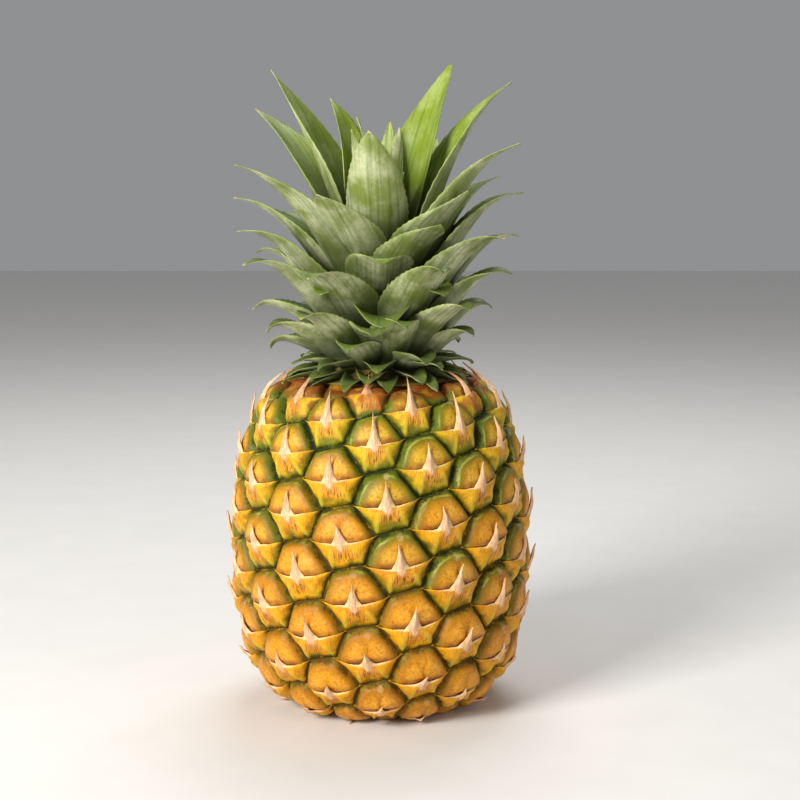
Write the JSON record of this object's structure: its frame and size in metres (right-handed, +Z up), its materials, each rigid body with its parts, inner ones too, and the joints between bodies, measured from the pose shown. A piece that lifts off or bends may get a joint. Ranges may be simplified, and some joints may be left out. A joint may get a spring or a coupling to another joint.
{
  "type": "pineapple",
  "caption": "Whole ripe pineapple standing upright: a barrel-shaped fruit covered in raised spiky eyes, with a crown of stiff, pointed, outward-curving leaves.",
  "frame": {"origin": "The middle of the small flat base that the fruit stands on.", "axes": "+Z up through the crown; +X to the right and -Y towards the side that shows the tall front leaf of the crown."},
  "size_m": [0.1389, 0.1375, 0.2828],
  "materials": {
    "fruit_skin": "waxy, golden eyes with green margins and dry pinkish spikes",
    "crown_leaf": "fibrous green leaf with a pale waxy bloom",
    "crown_stem": "dry, fibrous"
  },
  "bodies": {
    "root": {"fruit": "fruit_skin", "crown_stem": "crown_stem", "leaf_01": "crown_leaf", "leaf_02": "crown_leaf", "leaf_03": "crown_leaf", "leaf_04": "crown_leaf", "leaf_05": "crown_leaf", "leaf_06": "crown_leaf", "leaf_07": "crown_leaf", "leaf_08": "crown_leaf", "leaf_09": "crown_leaf", "leaf_10": "crown_leaf", "leaf_11": "crown_leaf", "leaf_12": "crown_leaf", "leaf_13": "crown_leaf", "leaf_14": "crown_leaf", "leaf_15": "crown_leaf", "leaf_16": "crown_leaf", "leaf_17": "crown_leaf", "leaf_18": "crown_leaf", "leaf_19": "crown_leaf", "leaf_20": "crown_leaf", "leaf_21": "crown_leaf", "leaf_22": "crown_leaf", "leaf_23": "crown_leaf", "leaf_24": "crown_leaf", "leaf_25": "crown_leaf", "leaf_26": "crown_leaf", "leaf_27": "crown_leaf", "leaf_28": "crown_leaf", "leaf_29": "crown_leaf", "leaf_30": "crown_leaf", "leaf_31": "crown_leaf", "leaf_32": "crown_leaf", "leaf_33": "crown_leaf", "leaf_34": "crown_leaf", "leaf_35": "crown_leaf", "leaf_36": "crown_leaf", "leaf_37": "crown_leaf", "leaf_38": "crown_leaf", "leaf_39": "crown_leaf", "leaf_40": "crown_leaf", "leaf_41": "crown_leaf", "leaf_42": "crown_leaf", "leaf_43": "crown_leaf", "leaf_44": "crown_leaf", "leaf_45": "crown_leaf", "leaf_46": "crown_leaf", "leaf_47": "crown_leaf", "leaf_48": "crown_leaf", "leaf_49": "crown_leaf", "leaf_50": "crown_leaf", "leaf_51": "crown_leaf", "leaf_52": "crown_leaf", "leaf_53": "crown_leaf", "leaf_54": "crown_leaf", "leaf_55": "crown_leaf", "leaf_56": "crown_leaf", "leaf_57": "crown_leaf"}
  },
  "joints": []
}
